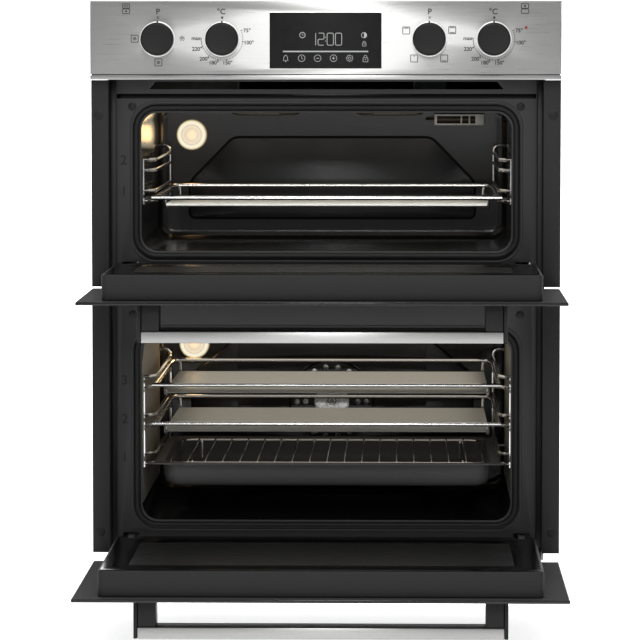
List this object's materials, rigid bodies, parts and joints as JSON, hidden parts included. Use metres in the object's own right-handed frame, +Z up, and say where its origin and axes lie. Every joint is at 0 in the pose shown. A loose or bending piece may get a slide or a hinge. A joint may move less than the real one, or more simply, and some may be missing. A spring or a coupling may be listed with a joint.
{
  "type": "double oven",
  "caption": "Built-in double oven with two drop-down doors, control panel, wire shelves, roasting tray and convection fan.",
  "frame": {"origin": "middle of the base panel's underside, where the oven rests in its housing", "axes": "+Z up, +Y into the oven away from the user, +X to the user's right; both doors open and everything else home at rest"},
  "size_m": [0.594, 0.879, 0.7645],
  "materials": {
    "galvanised_steel": "zinc-coated sheet",
    "black_enamel": "fired vitreous enamel",
    "black_painted_steel": "satin black paint",
    "stainless_steel": "brushed along its length",
    "chromed_wire": "bright chrome plate",
    "dark_glass": "tinted, printed black behind",
    "lamp_glass": "pressed clear glass",
    "black_plastic": "moulded satin",
    "probe_steel": "bright drawn tube",
    "silicone": "moulded gasket",
    "heating_element": "annealed sheath",
    "catalytic_liner": "rough catalytic enamel"
  },
  "bodies": {
    "cabinet": {"side_panel_left": "galvanised_steel", "side_panel_right": "galvanised_steel", "base_panel": "galvanised_steel", "top_cover": "galvanised_steel", "rear_cover": "galvanised_steel", "fan_motor": "galvanised_steel", "upper_selector_switch": "galvanised_steel", "upper_thermostat_switch": "galvanised_steel", "lower_selector_switch": "galvanised_steel", "lower_thermostat_switch": "galvanised_steel", "cooling_fan_housing": "galvanised_steel", "upper_door_hinge_left": "galvanised_steel", "upper_door_hinge_right": "galvanised_steel", "lower_door_hinge_left": "galvanised_steel", "lower_door_hinge_right": "galvanised_steel", "front_frame": "black_enamel", "upper_cavity": "black_enamel", "lower_cavity": "black_enamel", "fan_cover": "black_enamel", "trim_left": "black_painted_steel", "trim_right": "black_painted_steel", "control_fascia": "stainless_steel", "upper_rack_left": "chromed_wire", "upper_rack_right": "chromed_wire", "lower_rack_left": "chromed_wire", "lower_rack_right": "chromed_wire", "upper_lamp_glass": "lamp_glass", "lower_lamp_glass": "lamp_glass", "display_module": "black_plastic", "terminal_block": "black_plastic", "temperature_probe": "probe_steel", "upper_seal": "silicone", "lower_seal": "silicone", "grill_element": "heating_element", "ring_element": "heating_element", "liner_left": "catalytic_liner", "liner_right": "catalytic_liner"},
    "upper_door": {"upper_door_outer_glass": "dark_glass", "upper_door_panel": "black_painted_steel", "upper_door_inner_glass": "dark_glass", "upper_door_handle_bar": "stainless_steel", "upper_door_post_left": "black_plastic", "upper_door_post_right": "black_plastic"},
    "lower_door": {"lower_door_outer_glass": "dark_glass", "lower_door_panel": "black_painted_steel", "lower_door_inner_glass": "dark_glass", "lower_door_handle_bar": "stainless_steel", "lower_door_post_left": "black_plastic", "lower_door_post_right": "black_plastic"},
    "upper_shelf": {"upper_shelf": "chromed_wire"},
    "lower_shelf_top": {"lower_shelf_top": "chromed_wire"},
    "lower_shelf_middle": {"lower_shelf_middle": "chromed_wire"},
    "roasting_tray": {"roasting_tray": "black_enamel"},
    "tray_grid": {"tray_grid": "chromed_wire"},
    "upper_selector_knob": {"upper_selector_knob": "black_plastic"},
    "upper_thermostat_knob": {"upper_thermostat_knob": "black_plastic"},
    "lower_selector_knob": {"lower_selector_knob": "black_plastic"},
    "lower_thermostat_knob": {"lower_thermostat_knob": "black_plastic"},
    "convection_fan": {"convection_fan": "galvanised_steel"},
    "cooling_fan_wheel": {"cooling_fan_wheel": "galvanised_steel"}
  },
  "joints": [
    {"name": "upper_door_hinge", "type": "hinge", "parent": "cabinet", "child": "upper_door", "pos_m": [0, -0.2926, 0.3621], "axis": [-1, 0, 0], "range_deg": [0, 90]},
    {"name": "lower_door_hinge", "type": "hinge", "parent": "cabinet", "child": "lower_door", "pos_m": [0, -0.2915, 0.0145], "axis": [-1, 0, 0], "range_deg": [0, 90]},
    {"name": "upper_shelf_slide", "type": "slide", "parent": "cabinet", "child": "upper_shelf", "axis": [0, 1, 0], "range_m": [-0.3, 0]},
    {"name": "lower_shelf_top_slide", "type": "slide", "parent": "cabinet", "child": "lower_shelf_top", "axis": [0, 1, 0], "range_m": [-0.3, 0]},
    {"name": "lower_shelf_middle_slide", "type": "slide", "parent": "cabinet", "child": "lower_shelf_middle", "axis": [0, 1, 0], "range_m": [-0.3, 0]},
    {"name": "roasting_tray_slide", "type": "slide", "parent": "cabinet", "child": "roasting_tray", "axis": [0, 1, 0], "range_m": [-0.3, 0]},
    {"name": "tray_grid_lift", "type": "slide", "parent": "roasting_tray", "child": "tray_grid", "axis": [0, 0, 1], "range_m": [0, 0.03]},
    {"name": "upper_selector_turn", "type": "hinge", "parent": "cabinet", "child": "upper_selector_knob", "pos_m": [-0.2116, -0.316, 0.6665], "axis": [0, 1, 0], "continuous": true},
    {"name": "upper_thermostat_turn", "type": "hinge", "parent": "cabinet", "child": "upper_thermostat_knob", "pos_m": [-0.1303, -0.316, 0.6665], "axis": [0, 1, 0], "range_deg": [0, 280]},
    {"name": "lower_selector_turn", "type": "hinge", "parent": "cabinet", "child": "lower_selector_knob", "pos_m": [0.1303, -0.316, 0.6665], "axis": [0, 1, 0], "continuous": true},
    {"name": "lower_thermostat_turn", "type": "hinge", "parent": "cabinet", "child": "lower_thermostat_knob", "pos_m": [0.2116, -0.316, 0.6665], "axis": [0, 1, 0], "range_deg": [0, 280]},
    {"name": "convection_fan_spin", "type": "hinge", "parent": "cabinet", "child": "convection_fan", "pos_m": [0, 0.142, 0.168], "axis": [0, 1, 0], "continuous": true},
    {"name": "cooling_fan_spin", "type": "hinge", "parent": "cabinet", "child": "cooling_fan_wheel", "pos_m": [0, -0.178, 0.648], "axis": [1, 0, 0], "continuous": true}
  ]
}
